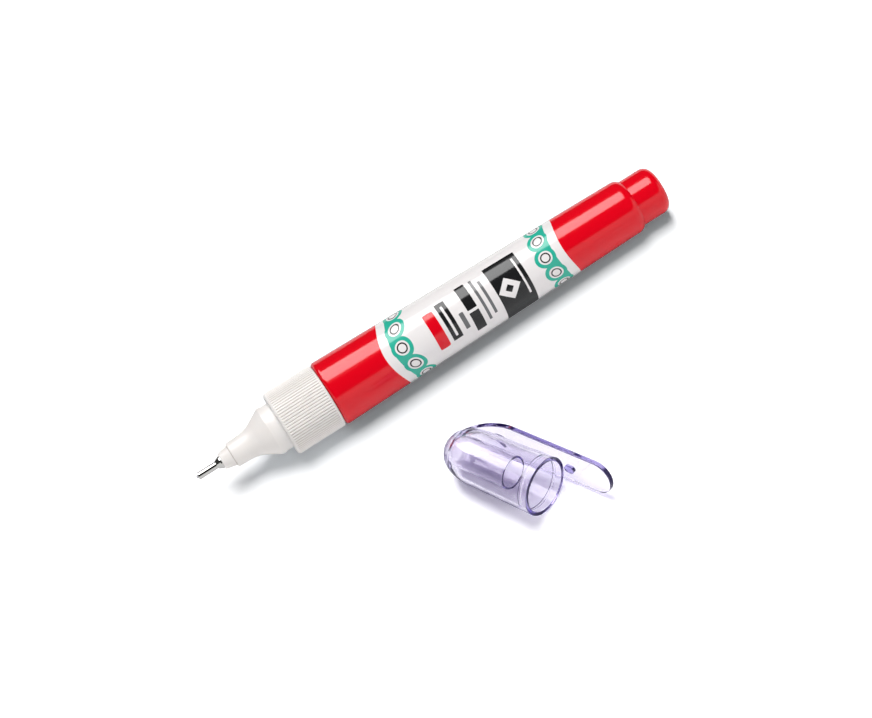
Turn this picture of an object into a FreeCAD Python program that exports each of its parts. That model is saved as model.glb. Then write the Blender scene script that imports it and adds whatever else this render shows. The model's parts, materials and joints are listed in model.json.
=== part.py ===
import FreeCAD, Part
import math
import os

import Sketcher

# Correction pen lying on a table with its clear cap beside it, in millimetres.
# The pen's own frame starts at the point of its needle and runs along +X to the rear end.
# The cap's own frame starts at its closed nose and runs along +X to its mouth, with the clip at +Z.
# In the finished part +X runs along the pen from tip to rear, +Z is up and Z = 0 is the table top.

sizes = [
    # tip, from the needle's point rearwards
    ("needle_dia", "0.7"),
    ("needle_reach", "0.35"),
    ("needle_point_round", "0.25"),
    ("needle_travel", "0.4"),
    ("tube_dia", "1.75"),
    ("tube_reach", "4.95"),
    ("tube_mouth_round", "0.25"),
    ("tube_gap", "0.08"),
    ("flange_dia", "3.15"),
    ("flange_front_dia", "2.0"),
    ("flange_length", "1.45"),
    ("flange_rim", "0.35"),
    ("shank_dia", "2.3"),
    ("shank_length", "5.6"),
    ("shank_bore", "1.4"),
    ("press_gap", "0.02"),
    # white ring that holds the tube
    ("nose_front_dia", "4.0"),
    ("nose_rear_dia", "5.25"),
    ("nose_length", "2.7"),
    ("nose_round", "0.35"),
    ("holder_dia", "3.9"),
    ("holder_length", "6.6"),
    ("valve_throat", "1.5"),
    ("valve_mouth", "2.6"),
    ("valve_depth", "0.9"),
    # valve needle head and its spring
    ("head_dia", "2.5"),
    ("head_length", "2.4"),
    ("spigot_dia", "1.4"),
    ("spigot_length", "1.5"),
    ("seat_gap", "0.04"),
    ("spring_dia", "2.6"),
    ("spring_wire", "0.3"),
    ("spring_turns", "8"),
    ("chamber_dia", "3.6"),
    ("cage_dia", "6.4"),
    ("cage_length", "2.2"),
    ("cage_spigot_dia", "1.6"),
    ("cage_hole_dia", "1.3"),
    ("cage_hole_circle", "4.0"),
    ("cage_holes", "3"),
    # white nozzle moulding
    ("cone_front_dia", "6.15"),
    ("cone_throat_dia", "6.5"),
    ("cone_rear_dia", "12.0"),
    ("cone_straight", "3.6"),
    ("cone_curve", "3.2"),
    ("cone_curve_rise", "0.85"),
    ("cone_flare", "3.35"),
    ("cone_edge_round", "0.25"),
    ("bead_dia", "12.1"),
    ("bead_length", "1.0"),
    ("land_dia", "11.8"),
    ("land_length", "1.95"),
    ("collar_inset", "0.15"),
    ("collar_length", "12.9"),
    ("collar_rear_round", "0.35"),
    ("rib_depth", "0.2"),
    ("rib_groove", "0.42"),
    ("rib_count", "72"),
    ("rib_rear_margin", "0.45"),
    ("rib_front_margin", "0.3"),
    ("nozzle_web", "2.4"),
    ("skirt_length", "4.5"),
    ("skirt_wall", "1.0"),
    # red squeeze barrel
    ("barrel_front_dia", "16.4"),
    ("barrel_rear_dia", "13.6"),
    ("barrel_length", "83.8"),
    ("barrel_wall", "1.2"),
    ("barrel_front_wall", "1.6"),
    ("shoulder_length", "1.9"),
    ("stub_dia", "11.8"),
    ("stub_length", "7.7"),
    ("stub_end_round", "2.2"),
    ("neck_dia", "11.6"),
    ("neck_bore", "8.6"),
    ("neck_length", "8.8"),
    ("neck_bead_dia", "12.1"),
    ("neck_bead_length", "0.9"),
    ("neck_bead_setback", "1.4"),
    ("neck_gap", "0.05"),
    ("ball_dia", "4.8"),
    ("ball_gap", "0.03"),
    ("ball_from_front", "61"),
    # clear cap
    ("cap_length", "26.75"),
    ("cap_mouth_dia", "13.75"),
    ("cap_nose_dia", "12.7"),
    ("cap_nose_length", "8.0"),
    ("cap_nose_flat", "6.0"),
    ("cap_nose_round", "5.0"),
    ("cap_mouth_round", "0.12"),
    ("cap_bore", "11.95"),
    ("cap_ring_length", "1.75"),
    ("cap_groove_dia", "12.6"),
    ("cap_groove_length", "0.75"),
    ("cap_wall", "0.8"),
    ("cap_nose_wall", "1.5"),
    ("sleeve_dia", "7.9"),
    ("sleeve_bore", "7.0"),
    ("sleeve_setback", "8.65"),
    ("sleeve_root", "3.2"),
    ("clip_reach", "8.8"),
    ("clip_thickness", "1.25"),
    ("clip_width", "8.5"),
    ("clip_overhang", "12.2"),
    ("clip_start", "2.4"),
    ("clip_rise", "9.9"),
    ("clip_tip_round", "4.1"),
    ("clip_edge_round", "0.2"),
    ("clip_root_depth", "2.0"),
    ("post_start", "4.2"),
    ("post_length", "7.0"),
    ("post_width", "4.2"),
    ("nub_length", "2.6"),
    ("nub_width", "1.8"),
    ("nub_height", "0.8"),
    ("nub_ahead", "0.2"),
    # where the cap lies: its mouth from the barrel's front end, and its heading
    ("cap_aside", "54.2"),
    ("cap_along", "27.6"),
    ("cap_heading", "64.5"),
]

doc = FreeCAD.newDocument("CorrectionPen")
sheet = doc.addObject("Spreadsheet::Sheet", "Sizes")
for row, (alias, value) in enumerate(sizes, start=1):
    sheet.set(f"A{row}", alias)
    sheet.set(f"B{row}", value)
    sheet.setAlias(f"B{row}", alias)
doc.recompute()

X, Y, Z = FreeCAD.Vector(1, 0, 0), FreeCAD.Vector(0, 1, 0), FreeCAD.Vector(0, 0, 1)


def size(text):
    """Millimetres of a sum of named sizes, such as "tube_reach + tube_dia/2"."""
    total, sign = 0.0, 1
    for word in text.split():
        if word in "+-":
            sign = 1 if word == "+" else -1
        elif word != "0":
            alias, _, divisor = word.partition("/")
            total += sign * sheet.get(alias) / float(divisor or 1)
    return total


def bound(text):
    """The same sum as an expression on the sheet."""
    return " ".join(word if word in "+-" else "Sizes." + word for word in text.split())


def origin_part(body, role):
    return next(f for f in body.Origin.OriginFeatures if f.Role == role)


def arc_through(start, end, tangent):
    """Arc from start to end that leaves start along the tangent, and whether it turns left."""
    normal = FreeCAD.Vector(-tangent.y, tangent.x, 0).normalize()
    chord = end - start
    radius = chord.Length ** 2 / (2 * chord.dot(normal))
    centre = start + normal * radius
    first = math.atan2(start.y - centre.y, start.x - centre.x)
    last = math.atan2(end.y - centre.y, end.x - centre.x)
    circle = Part.Circle(centre, Z, abs(radius))
    if radius > 0:
        return Part.ArcOfCircle(circle, first, last), True
    return Part.ArcOfCircle(circle, last, first), False


def outline(body, name, role, points, arcs=None, offset=None):
    """Closed sketch through points given as sums of sizes.
    arcs: segment number -> "from" (tangent to the segment before it) or "into" (to the one after)."""
    arcs = arcs or {}
    sketch = body.newObject("Sketcher::SketchObject", name)
    sketch.AttachmentSupport = [(origin_part(body, role), "")]
    sketch.MapMode = "FlatFace"
    if offset:
        sketch.setExpression(".AttachmentOffset.Base.z", bound(offset))
    corners = [
        FreeCAD.Vector(size(x), size(y), 0)
        for x, y in points
    ]
    count = len(corners)
    ends = []
    for i, start in enumerate(corners):
        end = corners[(i + 1) % count]
        if i in arcs:
            if arcs[i] == "from":
                arc, left = arc_through(start, end, start - corners[i - 1])
            else:
                arc, right = arc_through(end, start, end - corners[(i + 2) % count])
                left = not right
            sketch.addGeometry(arc)
            ends.append((1, 2) if left else (2, 1))
        else:
            sketch.addGeometry(Part.LineSegment(start, end))
            ends.append((1, 2))
    for i, (x, y) in enumerate(points):
        before = i - 1 if i else count - 1
        smooth = arcs.get(i) == "from" or arcs.get(before) == "into"
        kind = "Tangent" if smooth else "Coincident"
        sketch.addConstraint(Sketcher.Constraint(kind, before, ends[before][1], i, ends[i][0]))
        for axis, text, line in (("DistanceX", x, -2), ("DistanceY", y, -1)):
            if text == "0":
                sketch.addConstraint(Sketcher.Constraint("PointOnObject", i, ends[i][0], line))
            else:
                row = sketch.addConstraint(
                    Sketcher.Constraint(axis, -1, 1, i, ends[i][0], size(text))
                )
                sketch.setExpression(f"Constraints[{row}]", bound(text))
    return sketch


def new_body(name):
    body = doc.addObject("PartDesign::Body", name)
    body.Label = name
    return body


def turned(body, name, points, arcs=None, kind="PartDesign::Revolution"):
    """Solid of revolution about the piece's own X axis, or the same cut away from it."""
    sketch = outline(body, name + "_outline", "XY_Plane", points, arcs)
    feature = body.newObject(kind, name)
    feature.Profile = sketch
    feature.ReferenceAxis = (sketch, ["H_Axis"])
    feature.Angle = 360
    doc.recompute()
    return feature


def rounded(body, name, feature, radius, *rings):
    """Fillet on the circular edges at the given (station, radius) pairs."""
    edges = []
    for at, ring in rings:
        for number, edge in enumerate(feature.Shape.Edges, start=1):
            curve = edge.Curve
            if (
                isinstance(curve, Part.Circle)
                and abs(curve.Center.x - size(at)) < 1e-4
                and abs(curve.Radius - size(ring)) < 1e-4
            ):
                edges.append(f"Edge{number}")
    fillet = body.newObject("PartDesign::Fillet", name)
    fillet.Base = (feature, edges)
    fillet.setExpression("Radius", bound(radius))
    doc.recompute()
    return fillet


# stations along the pen, from the needle's point
tube_at = "needle_reach"
flange_at = tube_at + " + tube_reach"
nose_at = flange_at + " + flange_length"
cone_at = nose_at + " + nose_length"
valve_at = cone_at + " + holder_length"
curve_at = cone_at + " + cone_straight"
flare_at = curve_at + " + cone_curve"
bead_at = flare_at + " + cone_flare"
land_at = bead_at + " + bead_length"
collar_at = land_at + " + land_length"
barrel_at = collar_at + " + collar_length"
stub_at = barrel_at + " + barrel_length"
neck_at = barrel_at + " - neck_length"
web_front = neck_at + " - neck_gap - nozzle_web"
web_rear = neck_at + " - neck_gap"
head_rear = valve_at + " + seat_gap + head_length"
needle_rear = head_rear + " + spigot_length"

# radius of the ribbed collar
collar_edge = "barrel_front_dia/2 - collar_inset"


def make_barrel():
    body = new_body("barrel")
    bead_front = neck_at + " + neck_bead_setback"
    bead_rear = bead_front + " + neck_bead_length"
    rear_inside = stub_at + " + stub_length - barrel_wall"
    turned(
        body,
        "barrel_shell",
        [
            (neck_at, "neck_bore/2"),
            (neck_at, "neck_dia/2"),
            (bead_front, "neck_dia/2"),
            (bead_front, "neck_bead_dia/2"),
            (bead_rear, "neck_bead_dia/2"),
            (bead_rear, "neck_dia/2"),
            (barrel_at, "neck_dia/2"),
            (barrel_at, "barrel_front_dia/2"),
            (stub_at + " - shoulder_length", "barrel_rear_dia/2"),
            (stub_at, "stub_dia/2"),
            (stub_at + " + stub_length", "stub_dia/2"),
            (stub_at + " + stub_length", "0"),
            (rear_inside, "0"),
            (rear_inside, "stub_dia/2 - barrel_wall"),
            (stub_at + " - barrel_wall", "stub_dia/2 - barrel_wall"),
            (stub_at + " - shoulder_length - barrel_wall", "barrel_rear_dia/2 - barrel_wall"),
            (barrel_at + " + barrel_front_wall", "barrel_front_dia/2 - barrel_wall"),
            (barrel_at + " + barrel_front_wall", "neck_bore/2"),
        ],
        {8: "from"},
    )
    # the front edge takes two fifths of the step down to the neck
    front_round = "barrel_front_dia/5 - neck_dia/5"
    shell = body.Tip
    front = rounded(body, "barrel_front_edge", shell, front_round, (barrel_at, "barrel_front_dia/2"))
    rear_end = stub_at + " + stub_length"
    rounded(body, "stub_end", front, "stub_end_round", (rear_end, "stub_dia/2"))
    return body


def make_nozzle():
    body = new_body("nozzle")
    bead_front = neck_at + " + neck_bead_setback - neck_gap"
    bead_rear = bead_front + " + neck_bead_length + neck_gap + neck_gap"
    skirt_rear = web_rear + " + skirt_length"
    turned(
        body,
        "nozzle_shell",
        [
            (cone_at, "holder_dia/2 + press_gap"),
            (cone_at, "cone_front_dia/2"),
            (curve_at, "cone_throat_dia/2"),
            (flare_at, "cone_throat_dia/2 + cone_curve_rise"),
            (bead_at, "cone_rear_dia/2"),
            (bead_at, "bead_dia/2"),
            (land_at, "bead_dia/2"),
            (land_at, "land_dia/2"),
            (collar_at, "land_dia/2"),
            (collar_at, collar_edge),
            (barrel_at + " - neck_gap", collar_edge),
            (barrel_at + " - neck_gap", "neck_dia/2 + neck_gap"),
            (bead_rear, "neck_dia/2 + neck_gap"),
            (bead_rear, "neck_bead_dia/2 + neck_gap"),
            (bead_front, "neck_bead_dia/2 + neck_gap"),
            (bead_front, "neck_dia/2 + neck_gap"),
            (web_rear, "neck_dia/2 + neck_gap"),
            (web_rear, "neck_bore/2 - neck_gap"),
            (skirt_rear, "neck_bore/2 - neck_gap"),
            (skirt_rear, "neck_bore/2 - neck_gap - skirt_wall"),
            (web_front, "neck_bore/2 - neck_gap - skirt_wall"),
            (web_front, "chamber_dia/2"),
            (valve_at, "chamber_dia/2"),
            (valve_at, "holder_dia/2 + press_gap"),
        ],
        {2: "from"},
    )
    # the collar's front edge takes about a third of the step down to the land
    collar_front_round = "barrel_front_dia/5.75 - land_dia/5.75"
    shell = body.Tip
    edges = rounded(body, "cone_edge", shell, "cone_edge_round", (cone_at, "cone_front_dia/2"))
    edges = rounded(body, "collar_front_edge", edges, collar_front_round, (collar_at, collar_edge))
    rounded(body, "collar_rear_edge", edges, "collar_rear_round", (barrel_at + " - neck_gap", collar_edge))
    cut_grip_ribs(body)
    return body


def cut_grip_ribs(body):
    # one V groove along the collar, repeated round it, leaves the fine grip ribs
    front = collar_at + " + rib_front_margin"
    groove = outline(
        body,
        "rib_groove_section",
        "YZ_Plane",
        [
            ("- rib_groove", collar_edge + " + rib_depth"),
            ("0", collar_edge + " - rib_depth"),
            ("rib_groove", collar_edge + " + rib_depth"),
        ],
        offset=front,
    )
    pocket = body.newObject("PartDesign::Pocket", "rib_groove_cut")
    pocket.Profile = groove
    pocket.Reversed = True
    pocket.setExpression("Length", bound("collar_length - neck_gap - rib_front_margin - rib_rear_margin"))
    doc.recompute()
    ribs = body.newObject("PartDesign::PolarPattern", "grip_ribs")
    ribs.Originals = [pocket]
    ribs.Axis = (origin_part(body, "X_Axis"), [""])
    ribs.Angle = 360
    ribs.setExpression("Occurrences", "Sizes.rib_count")
    body.Tip = ribs
    doc.recompute()


def make_tip_holder():
    body = new_body("tip_holder")
    turned(
        body,
        "holder_turned",
        [
            (nose_at, "shank_dia/2 + press_gap"),
            (nose_at, "nose_front_dia/2"),
            (cone_at, "nose_rear_dia/2"),
            (cone_at, "holder_dia/2"),
            (valve_at, "holder_dia/2"),
            (valve_at, "valve_mouth/2"),
            (valve_at + " - valve_depth", "valve_throat/2"),
            (nose_at + " + shank_length", "valve_throat/2"),
            (nose_at + " + shank_length", "shank_dia/2 + press_gap"),
        ],
    )
    rounded(body, "nose_edge", body.Tip, "nose_round", (nose_at, "nose_front_dia/2"))
    return body


def make_tip_tube():
    body = new_body("tip_tube")
    turned(
        body,
        "tube_turned",
        [
            (tube_at, "needle_dia/2 + tube_gap"),
            (tube_at, "tube_dia/2"),
            (flange_at, "tube_dia/2"),
            (flange_at, "flange_front_dia/2"),
            (nose_at + " - flange_rim", "flange_dia/2"),
            (nose_at, "flange_dia/2"),
            (nose_at, "shank_dia/2"),
            (nose_at + " + shank_length", "shank_dia/2"),
            (nose_at + " + shank_length", "shank_bore/2"),
            (nose_at, "shank_bore/2"),
            (flange_at, "needle_dia/2 + tube_gap"),
        ],
    )
    rounded(body, "tube_mouth", body.Tip, "tube_mouth_round", (tube_at, "tube_dia/2"))
    return body


def make_needle():
    body = new_body("needle")
    # the head's cone closes the holder's conical mouth, so both have the same slope
    head_front = valve_at + " - valve_depth + seat_gap"
    head_edge = valve_at + " + seat_gap"
    turned(
        body,
        "needle_turned",
        [
            ("0", "0"),
            ("0", "needle_dia/2"),
            (head_front, "needle_dia/2"),
            (head_front, "valve_throat/2 - seat_gap"),
            (head_edge, "head_dia/2"),
            (head_rear, "head_dia/2"),
            (head_rear, "spigot_dia/2"),
            (needle_rear, "spigot_dia/2"),
            (needle_rear, "0"),
        ],
    )
    rounded(body, "needle_point", body.Tip, "needle_point_round", ("0", "needle_dia/2"))
    return body


def make_spring_cage():
    # disc pressed into the nozzle's skirt, with holes that let the fluid through
    body = new_body("spring_cage")
    cage_rear = web_front + " + cage_length"
    # the cage's spigot stops the needle at the end of its travel
    stop_at = needle_rear + " + needle_travel + seat_gap"
    turned(
        body,
        "cage_turned",
        [
            (stop_at, "0"),
            (stop_at, "cage_spigot_dia/2"),
            (web_front, "cage_spigot_dia/2"),
            (web_front, "cage_dia/2"),
            (cage_rear, "cage_dia/2"),
            (cage_rear, "0"),
        ],
    )
    disc = body.Tip
    sketch = body.newObject("Sketcher::SketchObject", "flow_hole_section")
    sketch.AttachmentSupport = [(origin_part(body, "YZ_Plane"), "")]
    sketch.MapMode = "FlatFace"
    sketch.setExpression(".AttachmentOffset.Base.z", bound(web_front))
    middle = FreeCAD.Vector(0, size("cage_hole_circle/2"), 0)
    sketch.addGeometry(Part.Circle(middle, Z, size("cage_hole_dia/2")))
    sketch.addConstraint(Sketcher.Constraint("PointOnObject", 0, 3, -2))
    row = sketch.addConstraint(Sketcher.Constraint("DistanceY", -1, 1, 0, 3, middle.y))
    sketch.setExpression(f"Constraints[{row}]", "Sizes.cage_hole_circle/2")
    row = sketch.addConstraint(Sketcher.Constraint("Radius", 0, size("cage_hole_dia/2")))
    sketch.setExpression(f"Constraints[{row}]", "Sizes.cage_hole_dia/2")
    hole = body.newObject("PartDesign::Pocket", "flow_hole")
    hole.Profile = sketch
    hole.Reversed = True
    hole.setExpression("Length", "Sizes.cage_length")
    doc.recompute()
    holes = body.newObject("PartDesign::PolarPattern", "flow_holes")
    holes.Originals = [hole]
    holes.Axis = (origin_part(body, "X_Axis"), [""])
    holes.Angle = 360
    holes.setExpression("Occurrences", "Sizes.cage_holes")
    body.Tip = holes
    doc.recompute()
    return body


def make_cap():
    body = new_body("cap")
    blade = make_blade(body)
    # outside of the closed shell round the blade's root, a bullet nose and a slightly tapered tube
    turned(
        body,
        "cap_outside",
        [
            ("0", "0"),
            ("0", "cap_nose_flat/2"),
            ("cap_nose_length", "cap_nose_dia/2"),
            ("cap_length", "cap_mouth_dia/2"),
            ("cap_length", "0"),
        ],
        {1: "into"},
    )
    rounded(body, "cap_nose", body.Tip, "cap_nose_round", ("0", "cap_nose_flat/2"))
    add_post(body, blade)
    add_nub(body)
    # inside, with a ring and a snap groove at the mouth, and the sleeve that seals on the
    # nozzle's cone standing up from the nose
    groove_rear = "cap_length - cap_ring_length - cap_groove_length"
    turned(
        body,
        "cap_inside",
        [
            ("cap_nose_wall", "0"),
            ("cap_nose_wall", "sleeve_bore/2"),
            ("cap_length - sleeve_setback", "sleeve_bore/2"),
            ("cap_length - sleeve_setback", "sleeve_dia/2"),
            ("sleeve_root", "sleeve_dia/2"),
            ("cap_nose_length", "cap_nose_dia/2 - cap_wall"),
            (groove_rear, "cap_mouth_dia/2 - cap_wall"),
            (groove_rear, "cap_groove_dia/2"),
            ("cap_length - cap_ring_length", "cap_groove_dia/2"),
            ("cap_length - cap_ring_length", "cap_bore/2"),
            ("cap_length", "cap_bore/2"),
            ("cap_length", "0"),
        ],
        {4: "into"},
        kind="PartDesign::Groove",
    )
    rounded(body, "cap_mouth_edge", body.Tip, "cap_mouth_round", ("cap_length", "cap_mouth_dia/2"))
    return body


def make_blade(body):
    # the blade rises from the nose in a long curve, then runs straight past the mouth
    rise_end = "clip_start + clip_rise"
    tip_end = "cap_length + clip_overhang"
    blade = outline(
        body,
        "clip_outline",
        "XZ_Plane",
        [
            ("clip_start", "clip_root_depth"),
            (rise_end, "clip_reach"),
            (tip_end, "clip_reach"),
            (tip_end, "clip_reach - clip_thickness"),
            (rise_end, "clip_reach - clip_thickness"),
            ("clip_start + clip_thickness", "clip_root_depth"),
        ],
        {0: "into", 4: "from"},
    )
    pad = body.newObject("PartDesign::Pad", "clip_blade")
    pad.Profile = blade
    pad.Midplane = True
    pad.setExpression("Length", "Sizes.clip_width")
    doc.recompute()
    corners = [
        f"Edge{number}"
        for number, edge in enumerate(pad.Shape.Edges, start=1)
        if abs(edge.CenterOfMass.x - size(tip_end)) < 1e-4 and edge.BoundBox.YLength < 1e-4
    ]
    tip = body.newObject("PartDesign::Fillet", "clip_tip")
    tip.Base = (pad, corners)
    tip.setExpression("Radius", "Sizes.clip_tip_round")
    doc.recompute()
    return soften_clip(body, tip)


def soften_clip(body, tip):
    # the four long edges of the blade's straight stretch, and what runs on from them
    long_edges = [
        f"Edge{number}"
        for number, edge in enumerate(tip.Shape.Edges, start=1)
        if isinstance(edge.Curve, Part.Line)
        and abs(abs(edge.CenterOfMass.y) - size("clip_width/2")) < 1e-4
        and edge.BoundBox.XLength > size("clip_rise")
    ]
    fillet = body.newObject("PartDesign::Fillet", "clip_soft_edges")
    fillet.Base = (tip, long_edges)
    fillet.setExpression("Radius", "Sizes.clip_edge_round")
    doc.recompute()
    return fillet


def add_post(body, blade):
    # lens-shaped post that carries the blade on the shell
    start, length, width = size("post_start"), size("post_length"), size("post_width")
    radius = (length ** 2 + width ** 2) / (4 * width)
    sweep = math.asin(length / (2 * radius))
    sketch = body.newObject("Sketcher::SketchObject", "clip_post_section")
    sketch.AttachmentSupport = [(origin_part(body, "XY_Plane"), "")]
    sketch.MapMode = "FlatFace"
    sketch.setExpression(".AttachmentOffset.Base.z", "Sizes.clip_root_depth")
    for side in (1, -1):
        centre = FreeCAD.Vector(start + length / 2, side * (width / 2 - radius), 0)
        middle = side * math.pi / 2
        sketch.addGeometry(
            Part.ArcOfCircle(Part.Circle(centre, Z, radius), middle - sweep, middle + sweep)
        )
    sketch.addConstraint(Sketcher.Constraint("Coincident", 0, 1, 1, 2))
    sketch.addConstraint(Sketcher.Constraint("Coincident", 0, 2, 1, 1))
    sketch.addConstraint(Sketcher.Constraint("PointOnObject", 0, 1, -1))
    sketch.addConstraint(Sketcher.Constraint("PointOnObject", 0, 2, -1))
    for spot, at in ((2, "post_start"), (1, "post_start + post_length")):
        row = sketch.addConstraint(Sketcher.Constraint("DistanceX", -1, 1, 0, spot, size(at)))
        sketch.setExpression(f"Constraints[{row}]", bound(at))
    for arc in (0, 1):
        row = sketch.addConstraint(Sketcher.Constraint("Radius", arc, radius))
        sketch.setExpression(
            f"Constraints[{row}]",
            "(Sizes.post_length ^ 2 + Sizes.post_width ^ 2) / (4 * Sizes.post_width)",
        )
    curved = [
        (face.CenterOfMass.z, f"Face{number}")
        for number, face in enumerate(blade.Shape.Faces, start=1)
        if isinstance(face.Surface, Part.Cylinder)
        and abs(face.Surface.Axis.y) > 0.99
        and face.Area > size("clip_width")
    ]
    post = body.newObject("PartDesign::Pad", "clip_post")
    post.Profile = sketch
    post.Type = "UpToFace"
    post.UpToFace = (blade, [min(curved)[1]])
    doc.recompute()


def add_nub(body):
    # small rounded nub on the blade's inner face, level with the mouth, that grips a pocket
    start = "cap_length + nub_ahead"
    end = start + " + nub_length"
    sketch = outline(
        body,
        "clip_nub_section",
        "XY_Plane",
        [
            (start + " + nub_width/2", "- nub_width/2"),
            (end + " - nub_width/2", "- nub_width/2"),
            (end + " - nub_width/2", "nub_width/2"),
            (start + " + nub_width/2", "nub_width/2"),
        ],
        {1: "from", 3: "from"},
        offset="clip_reach - clip_thickness - nub_height",
    )
    nub = body.newObject("PartDesign::Pad", "clip_nub")
    nub.Profile = sketch
    nub.setExpression("Length", bound("nub_height + clip_thickness/2"))
    doc.recompute()


def make_spring():
    # open coil spring on the needle's rear spigot, held behind by the cage
    front = size(head_rear + " + seat_gap")
    helix = doc.addObject("Part::Helix", "spring_line")
    helix.setExpression("Radius", "(Sizes.spring_dia - Sizes.spring_wire) / 2")
    free = bound(web_front + " - seat_gap - spring_wire") + " - (" + bound(head_rear + " + seat_gap") + ")"
    helix.setExpression("Height", free)
    helix.setExpression("Pitch", f"({free}) / Sizes.spring_turns")
    wire = doc.addObject("Part::Circle", "spring_section")
    wire.setExpression("Radius", "Sizes.spring_wire / 2")
    wire.setExpression(".Placement.Base.x", "(Sizes.spring_dia - Sizes.spring_wire) / 2")
    wire.Placement = FreeCAD.Placement(
        FreeCAD.Vector(size("spring_dia/2 - spring_wire/2"), 0, 0), FreeCAD.Rotation(X, 90)
    )
    doc.recompute()
    spring = doc.addObject("Part::Sweep", "needle_spring")
    spring.Label = "needle_spring"
    spring.Sections = [wire]
    spring.Spine = (helix, ["Edge1"])
    spring.Solid = True
    spring.Frenet = True
    doc.recompute()
    inner = FreeCAD.Placement(FreeCAD.Vector(front + size("spring_wire/2"), 0, 0), FreeCAD.Rotation(Y, 90))
    return spring, inner


def make_ball():
    ball = doc.addObject("Part::Sphere", "mixing_ball")
    ball.Label = "mixing_ball"
    ball.setExpression("Radius", "Sizes.ball_dia / 2")
    doc.recompute()
    return ball


def turn(axis, degrees):
    return FreeCAD.Placement(FreeCAD.Vector(), FreeCAD.Rotation(axis, degrees))


# the pen lies on its tapered barrel, so its axis dips towards the rear by the taper of one side
pen_pieces = {
    "barrel": make_barrel(),
    "nozzle": make_nozzle(),
    "tip_holder": make_tip_holder(),
    "tip_tube": make_tip_tube(),
    "needle": make_needle(),
    "spring_cage": make_spring_cage(),
}
spring, spring_spot = make_spring()
cap = make_cap()
ball = make_ball()

barrel_dip = math.atan(
    size("barrel_front_dia/2 - barrel_rear_dia/2") / size("barrel_length - shoulder_length")
)
pen_height = size("barrel_front_dia/2") * math.cos(barrel_dip) + size(barrel_at) * math.sin(barrel_dip)
pen_spot = FreeCAD.Placement(
    FreeCAD.Vector(-size(barrel_at), 0, pen_height), FreeCAD.Rotation(Y, math.degrees(barrel_dip))
)
for piece in pen_pieces.values():
    piece.Placement = pen_spot
spring.Placement = pen_spot * spring_spot
ball.Placement = FreeCAD.Placement(
    FreeCAD.Vector(size("ball_from_front"), 0, size("barrel_wall + ball_gap + ball_dia/2")),
    FreeCAD.Rotation(),
)

# the cap lies on its tapered shell and on the lower edge of its clip
cap_draft = math.atan(
    size("cap_mouth_dia/2 - cap_nose_dia/2") / size("cap_length - cap_nose_length")
)
resting_radius = size("cap_nose_dia/2")
clip_corner = math.hypot(size("clip_reach"), size("clip_width/2"))
clip_dip = math.degrees(
    math.asin(resting_radius / clip_corner) - math.atan2(size("clip_width/2"), size("clip_reach"))
)
nose_radius = size("cap_mouth_dia/2") - size("cap_length") * math.tan(cap_draft)
cap_turn = (
    turn(Z, -size("cap_heading")) * turn(Y, -math.degrees(cap_draft)) * turn(X, -90 - clip_dip)
)
mouth_offset = cap_turn.multVec(FreeCAD.Vector(size("cap_length"), 0, 0))
cap_spot = FreeCAD.Vector(
    size("cap_along") - mouth_offset.x,
    -size("cap_aside") - mouth_offset.y,
    nose_radius * math.cos(cap_draft),
)
cap_turn.Base = cap_spot
cap.Placement = cap_turn

pieces = dict(pen_pieces, needle_spring=spring, mixing_ball=ball, cap=cap)

# the origin is on the table, under the middle of the pen and the cap taken together
doc.recompute()
whole = FreeCAD.BoundBox()
for piece in pieces.values():
    whole.add(piece.Shape.optimalBoundingBox(False, False))
shift = FreeCAD.Vector(-whole.Center.x, -whole.Center.y, 0)
for piece in pieces.values():
    spot = piece.Placement
    spot.Base = spot.Base + shift
    piece.Placement = spot
doc.recompute()

for thing in doc.Objects:
    if "Invalid" in thing.State or "Error" in thing.State:
        raise RuntimeError(f"{thing.Name} failed: {thing.State}")
os.makedirs("parts", exist_ok=True)
for name, piece in pieces.items():
    shape = piece.Shape
    if shape.isNull() or not shape.isValid():
        raise RuntimeError(f"{name} has no valid shape")
    box = shape.optimalBoundingBox(False, False)
    print(
        f"{name}: {len(shape.Solids)} solid, {shape.Volume:.2f} mm3, "
        f"X {box.XMin:.2f} {box.XMax:.2f} Y {box.YMin:.2f} {box.YMax:.2f} Z {box.ZMin:.2f} {box.ZMax:.2f}"
    )
    shape.exportStep(f"parts/{name}.step")
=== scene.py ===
import json
import math

import bpy
from mathutils import Matrix, Vector


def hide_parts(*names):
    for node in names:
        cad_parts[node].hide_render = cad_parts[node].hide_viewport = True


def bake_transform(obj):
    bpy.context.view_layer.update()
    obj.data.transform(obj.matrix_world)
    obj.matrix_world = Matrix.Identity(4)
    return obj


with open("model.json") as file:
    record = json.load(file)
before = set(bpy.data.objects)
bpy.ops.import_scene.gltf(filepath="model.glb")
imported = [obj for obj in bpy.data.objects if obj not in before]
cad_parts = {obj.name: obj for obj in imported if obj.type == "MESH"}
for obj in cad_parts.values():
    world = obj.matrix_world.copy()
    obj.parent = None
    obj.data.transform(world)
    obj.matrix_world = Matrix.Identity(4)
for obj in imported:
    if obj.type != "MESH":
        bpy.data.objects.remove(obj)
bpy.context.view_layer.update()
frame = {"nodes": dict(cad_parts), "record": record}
nodes = frame["nodes"]
mounts = {mount["name"]: mount for mount in frame["record"]["mounts"]}
print("frame loaded,", len(nodes), "pieces")


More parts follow.
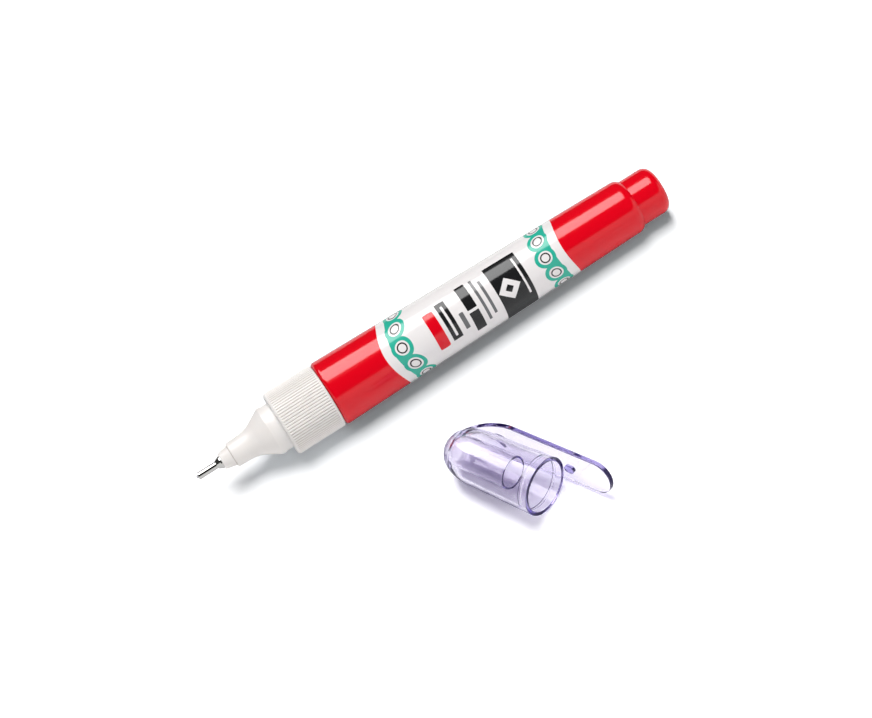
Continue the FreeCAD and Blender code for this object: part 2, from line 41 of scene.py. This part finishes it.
# a number that varies over a surface: plain Python sums on it add its Math nodes
class Value:
    def __init__(self, finish, socket):
        self.finish = finish
        self.socket = socket

    def math(self, operation, *others):
        sockets = dict(enumerate((self, *others)))
        return self.finish.add("ShaderNodeMath", {"operation": operation}, sockets)

    def __add__(self, other):
        return self.math("ADD", other)

    __radd__ = __add__

    def __sub__(self, other):
        return self.math("SUBTRACT", other)

    def __rsub__(self, other):
        return self * -1.0 + other

    def __mul__(self, other):
        return self.math("MULTIPLY", other)

    __rmul__ = __mul__

    def __truediv__(self, other):
        return self.math("DIVIDE", other)

    def __abs__(self):
        return self.math("ABSOLUTE")

    def between(self, low, high):
        # 0 at low, 1 at high, clamped
        return ((self - low) / (high - low)).math("MAXIMUM", 0.0).math("MINIMUM", 1.0)


# the nodes of a material or of the world: add() makes any node, paint() lays an ink over a colour
class Finish:
    def __init__(self, owner):
        self.owner = owner
        owner.use_nodes = True
        self.tree = owner.node_tree
        self.tree.nodes.clear()

    def add(self, kind, settings=None, sockets=None, out=0):
        node = self.tree.nodes.new(kind)
        for name, setting in (settings or {}).items():
            setattr(node, name, setting)
        for name, value in (sockets or {}).items():
            if isinstance(value, Value):
                self.tree.links.new(value.socket, node.inputs[name])
            else:
                node.inputs[name].default_value = value
        if isinstance(out, tuple):
            return [Value(self, node.outputs[name]) for name in out]
        return Value(self, node.outputs[out]) if len(node.outputs) else node

    def place(self):
        return self.add("ShaderNodeTexCoord", out="Object")

    def alongLine(self, place, direction, origin):
        # millimetres from the origin along a direction
        moved = self.add("ShaderNodeVectorMath", {"operation": "SUBTRACT"}, {0: place, 1: origin})
        line = tuple(direction * 1000)
        return self.add("ShaderNodeVectorMath", {"operation": "DOT_PRODUCT"}, {0: moved, 1: line}, "Value")

    def noise(self, scale, detail=2.0):
        sockets = {"Vector": self.place(), "Scale": scale, "Detail": detail}
        return self.add("ShaderNodeTexNoise", None, sockets, "Fac")

    def paint(self, under, ink, mask):
        ink = ink if isinstance(ink, Value) else (*ink, 1.0)
        under = under if isinstance(under, Value) else (*under, 1.0)
        return self.add("ShaderNodeMix", {"data_type": "RGBA"}, {0: mask, 6: under, 7: ink}, 2)

    def bump(self, height, strength, distance):
        sockets = {"Height": height, "Strength": strength, "Distance": distance}
        return self.add("ShaderNodeBump", None, sockets)

    def surface(self, **sockets):
        names = {name.replace("_", " "): value for name, value in sockets.items()}
        return self.add("ShaderNodeBsdfPrincipled", None, names)

    def finishWith(self, shader, volume=None):
        sockets = {"Surface": shader}
        if volume:
            sockets["Volume"] = volume
        self.add("ShaderNodeOutputMaterial", None, sockets)
        return self.owner


def dress(name, material):
    mesh = nodes[name].data
    mesh.materials.clear()
    mesh.materials.append(material)


cameraView = {
    "spot": (-0.0228, -0.3711, 0.4446),  # from the barrel's front end
    "forward": (0.08314, 0.62982, -0.77222),
    "upward": (0.541, 0.6224, 0.5657),
    "lens": 103.8,
}

# the pen's own directions, from the mount at its rear stub: the print's middle faces the camera
stubMiddle = 86.55  # mm behind the barrel's front end
penAxis = Vector(mounts["post_stub"]["axis"]).normalized()
barrelFront = Vector(mounts["post_stub"]["pos_m"]) - penAxis * stubMiddle / 1000
toCamera = Vector(cameraView["spot"])
facing = (toCamera - penAxis * toCamera.dot(penAxis)).normalized()
below = penAxis.cross(facing) * -1


def placeOnPen(finish):
    # mm behind the barrel's front end, and from the pen's axis towards the camera and downwards
    place = finish.place()
    return [finish.alongLine(place, axis, barrelFront) for axis in (penAxis, facing, below)]


def paintBounce(finish, color, bounce):
    # the colour that a piece has in the light that it throws on the floor, which keeps its shadow cool
    return finish.paint(color, bounce, finish.add("ShaderNodeLightPath", out="Is Diffuse Ray"))


printedBarrel = {
    "red": (0.79, 0.0, 0.01),
    "white": (0.9, 0.865, 0.86),
    "teal": (0.03, 0.47, 0.34),
    "black": (0.012, 0.012, 0.013),
    "grey": (0.16, 0.16, 0.165),
    "frontEdge": 16.4,  # where the white field starts, mm behind the barrel's front
    "frontWave": 1.35,
    "rearEdge": 64.2,
    "rearWave": 0.9,
    "mmPerDegree": 0.132,
    "inkEdge": 0.06,
    "bounce": (0.16, 0.19, 0.2),
    "roughness": 0.085,
    "cloudScale": 90.0,
    "grainScale": 2600.0,
    "relief": 0.04,
    "coat": 0.25,
    "ribbon": (3.3, 1.05),  # from the white field's edge to the ribbon's middle, and half its width
    "scallops": (-72, -36, 0, 36, 72),  # degrees round the barrel
    "scallopAt": 4.6,
    "scallopRadius": 2.6,
    "scallopWhite": 1.7,
    "scallopRing": (1.1, 0.16),  # radius and half the line's width
    # ink, start and end behind the barrel's front, and from and to round the barrel in degrees,
    # with the corners' round in mm
    "bars": (
        ("red", 27.2, 29.9, -44, 28, 0.8),
        ("black", 30.9, 33.4, -41, 34, 0.1),
        ("white", 31.85, 32.45, -34, 26, 0.2),
        ("grey", 34.7, 35.8, -34, -2, 0.3),
        ("black", 36.9, 39.4, -52, -12, 0.3),
        ("black", 36.9, 39.4, -7, 42, 0.3),
        ("grey", 40.6, 41.3, -44, 40, 0.2),
        ("grey", 42.3, 43.0, -38, 30, 0.2),
        ("black", 44.8, 53.2, -84, 46, 0.1),
        ("white", 51.7, 52.2, -42, 34, 0.2),
    ),
    "diamond": (48.0, -12, 2.9, 1.1),  # place along, turn, reach and its hole's reach
}


def printBand(finish, along, turnDegrees):
    band = printedBarrel
    half = turnDegrees.math("WRAP", 90.0, -90.0)  # the same print on the two sides
    across = half * band["mmPerDegree"]
    wave = (half * math.radians(2)).math("COSINE")
    fromFront = along - (band["frontEdge"] - wave * band["frontWave"])
    fromRear = (band["rearEdge"] - wave * band["rearWave"]) - along

    def cover(distance):
        # 1 inside a shape, 0 outside, with the soft edge that ink has
        return (distance * (-1.0 / band["inkEdge"]) + 0.5).between(0.0, 1.0)

    def bar(start, end, low, high, corner):
        middle, halfWidth = (low + high) / 2, (high - low) / 2
        lengthwise = abs(along - (start + end) / 2) - (end - start) / 2
        sideways = abs(across - middle * band["mmPerDegree"]) - halfWidth * band["mmPerDegree"]
        return lengthwise.math("SMOOTH_MAX", sideways, corner)

    def fromScallop(edge, degrees):
        lengthwise = edge - band["scallopAt"]
        sideways = across - degrees * band["mmPerDegree"]
        return (lengthwise * lengthwise + sideways * sideways).math("SQRT")

    color = finish.paint(band["red"], band["white"], cover(fromFront.math("MINIMUM", fromRear) * -1.0))
    ribbonAt, ribbonHalf = band["ribbon"]
    ringRadius, ringHalf = band["scallopRing"]
    for edge in (fromFront, fromRear):
        color = finish.paint(color, band["teal"], cover(abs(edge - ribbonAt) - ribbonHalf))
        for degrees in band["scallops"]:
            away = fromScallop(edge, degrees)
            color = finish.paint(color, band["teal"], cover(away - band["scallopRadius"]))
            color = finish.paint(color, band["white"], cover(away - band["scallopWhite"]))
            color = finish.paint(color, band["black"], cover(abs(away - ringRadius) - ringHalf))
    for ink, start, end, low, high, corner in band["bars"]:
        color = finish.paint(color, band[ink], cover(bar(start, end, low, high, corner)))
    place, turn, reach, hole = band["diamond"]
    diamond = abs(along - place) + abs(across - turn * band["mmPerDegree"])
    color = finish.paint(color, band["white"], cover(diamond - reach))
    return finish.paint(color, band["black"], cover(diamond - hole))


def makePrintedPlastic():
    barrel = printedBarrel
    finish = Finish(bpy.data.materials.new("printedRedPlastic"))
    along, toFace, toBelow = placeOnPen(finish)
    turn = toBelow.math("ARCTAN2", toFace) * (180 / math.pi)
    color = paintBounce(finish, printBand(finish, along, turn), barrel["bounce"])
    cloud = finish.noise(barrel["cloudScale"], 3.0)
    grain = finish.noise(barrel["grainScale"])
    shader = finish.surface(
        Base_Color=color,
        Roughness=barrel["roughness"] + cloud * 0.05 + grain * 0.02,
        Normal=finish.bump(cloud * 0.8 + grain * 0.2, barrel["relief"], 0.0003),
        IOR=1.5,
        Coat_Weight=barrel["coat"],
        Coat_Roughness=0.06,
    )
    return finish.finishWith(shader)


whitePlastic = {
    "color": (0.9, 0.858, 0.828),
    "shade": (0.81, 0.77, 0.735),
    "bounce": (0.76, 0.8, 0.82),
    # painted shade for the rib grooves and the holder's joint: its colour, and how strong it is in each
    "creaseShadeColor": (0.5, 0.42, 0.37),
    "grooveShadeStrength": 0.6,
    "jointShadeStrength": 0.8,
    "roughness": 0.3,
    "cloudScale": 140.0,
    "grainScale": 3000.0,
    "relief": 0.05,
    "collarRadius": 8.05,
    "ribs": (-12.3, -0.5),  # mm from the barrel's front end, minus ahead of it
    "holderJoint": -26.0,
}


def makeWhitePlastic(name, shadeShare):
    white = whitePlastic
    finish = Finish(bpy.data.materials.new(name))
    cloud = finish.noise(white["cloudScale"], 3.0)
    grain = finish.noise(white["grainScale"])
    color = finish.paint(white["color"], white["shade"], cloud.between(0.45, 0.8) * shadeShare)
    # painted shade: the grooves between the grip ribs and the joint at the holder are painted a little
    # darker, as the shade that falls in them
    along, toFace, toBelow = placeOnPen(finish)
    radius = (toFace * toFace + toBelow * toBelow).math("SQRT")
    ribsFrom, ribsTo = white["ribs"]
    ribs = along.between(ribsFrom, ribsFrom + 0.2) * along.between(ribsTo, ribsTo - 0.1)
    groove = radius.between(white["collarRadius"] - 0.02, white["collarRadius"] - 0.16)
    pastJoint = along - white["holderJoint"]
    joint = pastJoint.between(-0.14, -0.04) * pastJoint.between(0.08, 0.0)
    shade = groove * ribs * white["grooveShadeStrength"] + joint * white["jointShadeStrength"]
    color = paintBounce(finish, finish.paint(color, white["creaseShadeColor"], shade), white["bounce"])
    shader = finish.surface(
        Base_Color=color,
        Roughness=white["roughness"] + grain * 0.1 + cloud * 0.05,
        Normal=finish.bump(grain * 0.6 + cloud * 0.4, white["relief"], 0.0002),
        IOR=1.49,
        Subsurface_Weight=0.15,
        Subsurface_Radius=(0.001, 0.0009, 0.0008),
    )
    return finish.finishWith(shader)


# colour, roughness and the step of the tool rings in mm
metals = {
    "platedMetal": ((0.83, 0.82, 0.80), 0.04, 0.11),
    "needleSteel": ((0.62, 0.63, 0.65), 0.16, 0.07),
    "cageSteel": ((0.58, 0.59, 0.61), 0.3, 0.15),
    "springSteel": ((0.55, 0.56, 0.58), 0.22, 0.09),
    "ballSteel": ((0.66, 0.67, 0.69), 0.08, 0.4),
}


def makeMetal(name):
    # turned or drawn metal: fine rings round the pen's axis, and a little unevenness
    color, roughness, ringStep = metals[name]
    finish = Finish(bpy.data.materials.new(name))
    along = finish.alongLine(finish.place(), penAxis, barrelFront)
    rings = (along * (2 * math.pi / ringStep)).math("SINE")
    cloud = finish.noise(500.0, 3.0)
    worn = tuple(channel * 0.82 for channel in color)
    shader = finish.surface(
        Base_Color=finish.paint(color, worn, cloud.between(0.4, 0.75) * 0.5),
        Metallic=1.0,
        Roughness=roughness * (cloud + rings * 0.2 + 0.7),
        Normal=finish.bump(rings * 0.3 + cloud * 0.7, 0.06, 0.00005),
    )
    return finish.finishWith(shader)


clearCap = {
    "tint": (0.985, 0.972, 0.985),
    "wallEndShade": (0.2, 0.165, 0.46),  # painted shade: darker violet at the ends of the thin walls, standing in for the deeper colour that light's long path through a wall's end gives
    "depthColor": (0.23, 0.115, 0.68),
    "density": 90.0,  # per metre
    "index": 1.49,
    "roughness": 0.02,
    "cloudScale": 160.0,
    "rippleScale": 520.0,
    "relief": 0.12,
    "innerLight": (0.28, 0.12, 0.95),  # stands in for the light scattered inside the plastic
    "innerStrength": 0.011,
    "shadowShare": 0.68,  # how much of a shadow's light goes straight through
    "shadowTint": (0.82, 0.81, 0.86),
    "sleeveToMouth": 17.0,  # mm from the sleeve's mount
    "lipRadius": 7.1,  # mm from the cap's axis, just past the lip's own
    "sleeveEnd": -8.65,  # mm from the mouth
    "sleeveRadius": 4.1,
}


def findWallEnds(finish):
    # where the darker violet shade is painted: the mouth's lip, with the nub's foot beside it, and the end
    # of the sleeve
    cap = clearCap
    axis = Vector(mounts["cap_sleeve"]["axis"]).normalized()
    mouth = Vector(mounts["cap_sleeve"]["pos_m"]) + axis * cap["sleeveToMouth"] / 1000
    side = axis.orthogonal().normalized()
    place = finish.place()
    lines = (axis, side, axis.cross(side))
    along, sideways, upwards = (finish.alongLine(place, line, mouth) for line in lines)
    radius = (sideways * sideways + upwards * upwards).math("SQRT")
    lip = along.between(-0.18, -0.08) * radius.between(cap["lipRadius"] + 0.1, cap["lipRadius"])
    rim = abs(along - cap["sleeveEnd"]).between(0.12, 0.06)
    rim = rim * radius.between(cap["sleeveRadius"] + 0.1, cap["sleeveRadius"])
    return lip.math("MAXIMUM", rim)


def makeClearPlastic():
    # clear violet-tinted moulding, whose shadow is lighter than a solid's
    cap = clearCap
    finish = Finish(bpy.data.materials.new("clearVioletPlastic"))
    cloud = finish.noise(cap["cloudScale"])
    ripple = finish.noise(cap["rippleScale"])
    clear = finish.surface(
        # the ends of the thin walls are painted darker violet, as shade
        Base_Color=finish.paint(cap["tint"], cap["wallEndShade"], findWallEnds(finish)),
        Roughness=cap["roughness"] + ripple * 0.02,
        IOR=cap["index"],
        Transmission_Weight=1.0,
        Emission_Color=(*cap["innerLight"], 1.0),
        Emission_Strength=cap["innerStrength"],
        Normal=finish.bump(cloud * 0.7 + ripple * 0.3, cap["relief"], 0.0004),
    )
    straight = finish.add("ShaderNodeBsdfTransparent", None, {"Color": (*cap["shadowTint"], 1.0)})
    share = finish.add("ShaderNodeLightPath", out="Is Shadow Ray") * cap["shadowShare"]
    mixed = finish.add("ShaderNodeMixShader", None, {0: share, 1: clear, 2: straight})
    depth = {"Color": (*cap["depthColor"], 1.0), "Density": cap["density"]}
    return finish.finishWith(mixed, finish.add("ShaderNodeVolumeAbsorption", None, depth))


def makeClosingSpring(material):
    # on the real pen the coil closes up as the needle is pressed, its rear end staying and its front end
    # following the needle; here a copy of the needle's spring, in spring steel, takes its place and is not
    # moved
    coil = bpy.data.objects.new("closingSpring", nodes["needle_spring"].data.copy())
    bpy.context.scene.collection.objects.link(coil)
    coil.data.materials.clear()
    coil.data.materials.append(material)
    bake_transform(coil)
    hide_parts("needle_spring")


dress("barrel", makePrintedPlastic())
dress("nozzle", makeWhitePlastic("whitePlastic", 0.35))
dress("tip_holder", makeWhitePlastic("holderPlastic", 0.2))
dress("tip_tube", makeMetal("platedMetal"))
dress("needle", makeMetal("needleSteel"))
dress("spring_cage", makeMetal("cageSteel"))
dress("mixing_ball", makeMetal("ballSteel"))
dress("cap", makeClearPlastic())
makeClosingSpring(makeMetal("springSteel"))
print("materials made")


# floor, light and camera
studio = {
    "floorHalf": 4.0,
    "floorColor": 0.9,
    "floorSeen": 1.3,  # the floor's brightness where it is looked at, so that it stays white
    "floorInGloss": 0.62,
    "floorThroughGlass": 1.12,
    "openFrom": 0.28,  # m from the middle where the floor starts to fade into plain white
    "openTo": 0.6,
    "target": (0.14, 0.0, 0.008),
    "lampDistance": 1.5,
    "softbox": (0.95, 1.7),
    "softboxAngle": 70.0,  # degrees up from the far side
    "softboxTurn": 1.0,  # m that its face looks past the target
    "softboxPower": 26.0,
    "lamp": (0.65, 1.25),
    "lampAngle": 77.0,
    "lampPower": 24.5,
    "sky": 0.04,
    "skyInGlass": 0.8,
    "nearCard": 1.28,
    "nearCardSeen": 0.7,  # the same card in gloss and through the cap
}


def makeFloor():
    half = studio["floorHalf"]
    mesh = bpy.data.meshes.new("floor")
    corners = [(-half, -half, 0), (half, -half, 0), (half, half, 0), (-half, half, 0)]
    mesh.from_pydata(corners, [], [(0, 1, 2, 3)])
    floor = bpy.data.objects.new("floor", mesh)
    bpy.context.scene.collection.objects.link(floor)
    finish = Finish(bpy.data.materials.new("paleFloor"))
    grain = finish.noise(400.0, 3.0)
    kinds = ("Is Camera Ray", "Is Transmission Ray", "Is Glossy Ray")
    camera, through, glossy = finish.add("ShaderNodeLightPath", out=kinds)
    names = ("floorColor", "floorSeen", "floorThroughGlass", "floorInGloss")
    tones = (studio[name] for name in names)
    pale, seen, inGlass, inGloss = ((tone, tone, tone * 1.01) for tone in tones)
    color = finish.paint(pale, inGloss, glossy)
    color = finish.paint(color, seen, camera)
    color = finish.paint(color, inGlass, through)
    color = finish.paint(color, pale, grain * 0.06)
    near = finish.add("ShaderNodeBsdfDiffuse", None, {"Color": color})
    plainWhite = finish.add("ShaderNodeEmission", None, {"Color": (1, 1, 1, 1), "Strength": 1.0})
    away = finish.add("ShaderNodeVectorMath", {"operation": "LENGTH"}, {0: finish.place()}, "Value")
    far = away.between(studio["openFrom"], studio["openTo"]) * (camera + through).math("MINIMUM", 1.0)
    mixed = finish.add("ShaderNodeMixShader", None, {0: far, 1: near, 2: plainWhite})
    mesh.materials.append(finish.finishWith(mixed))


def makeSky():
    world = bpy.data.worlds.new("studio")
    bpy.context.scene.world = world
    finish = Finish(world)
    direction = finish.add("ShaderNodeTexCoord", out="Generated")
    across, height = finish.add("ShaderNodeSeparateXYZ", None, {0: direction}, ("Y", "Z"))
    # a low white card stands behind the camera
    card = across.between(0.1, -0.1) * height.between(0.48, 0.38)
    kinds = ("Is Camera Ray", "Is Glossy Ray", "Is Transmission Ray")
    camera, glossy, through = finish.add("ShaderNodeLightPath", out=kinds)
    sky = studio["sky"] + through * (studio["skyInGlass"] - studio["sky"])
    cardLight = studio["nearCard"] + (glossy + through) * (studio["nearCardSeen"] - studio["nearCard"])
    strength = sky + card * (cardLight - sky)
    strength = strength * (1.0 - camera) + camera
    shader = finish.add("ShaderNodeBackground", None, {"Color": (1, 1, 1, 1), "Strength": strength})
    finish.add("ShaderNodeOutputWorld", None, {"Surface": shader})


def makeLamp(name, size, power, degrees, turn=0.0):
    lamp = bpy.data.lights.new(name, "AREA")
    lamp.shape = "RECTANGLE"
    lamp.size, lamp.size_y = size
    lamp.energy = power
    box = bpy.data.objects.new(name, lamp)
    bpy.context.scene.collection.objects.link(box)
    angle = math.radians(degrees)
    target = Vector(studio["target"])
    box.location = target + Vector((0, math.cos(angle), math.sin(angle))) * studio["lampDistance"]
    aim = target + Vector((turn, 0, 0))
    box.rotation_euler = (aim - box.location).to_track_quat("-Z", "Y").to_euler()
    return box


def makeLights():
    # the softbox shows in gloss, and the smaller lamp above it lights the rest
    power, angle, turn = studio["softboxPower"], studio["softboxAngle"], studio["softboxTurn"]
    softbox = makeLamp("softbox", studio["softbox"], power, angle, turn)
    softbox.visible_diffuse = False
    lamp = makeLamp("lamp", studio["lamp"], studio["lampPower"], studio["lampAngle"])
    lamp.visible_glossy = lamp.visible_transmission = False


def makeCamera():
    data = bpy.data.cameras.new("camera")
    data.sensor_width = 36.0
    data.lens = cameraView["lens"]
    data.clip_start, data.clip_end = 0.01, 20.0
    camera = bpy.data.objects.new("camera", data)
    bpy.context.scene.collection.objects.link(camera)
    forward = Vector(cameraView["forward"]).normalized()
    rightward = forward.cross(Vector(cameraView["upward"])).normalized()
    upward = rightward.cross(forward)
    turned = Matrix((rightward, upward, -forward)).transposed()
    camera.matrix_world = Matrix.Translation(barrelFront + toCamera) @ turned.to_4x4()
    bpy.context.scene.camera = camera


makeFloor()
makeSky()
makeLights()
makeCamera()
bpy.context.scene.view_settings.view_transform = "Standard"
print("studio ready")
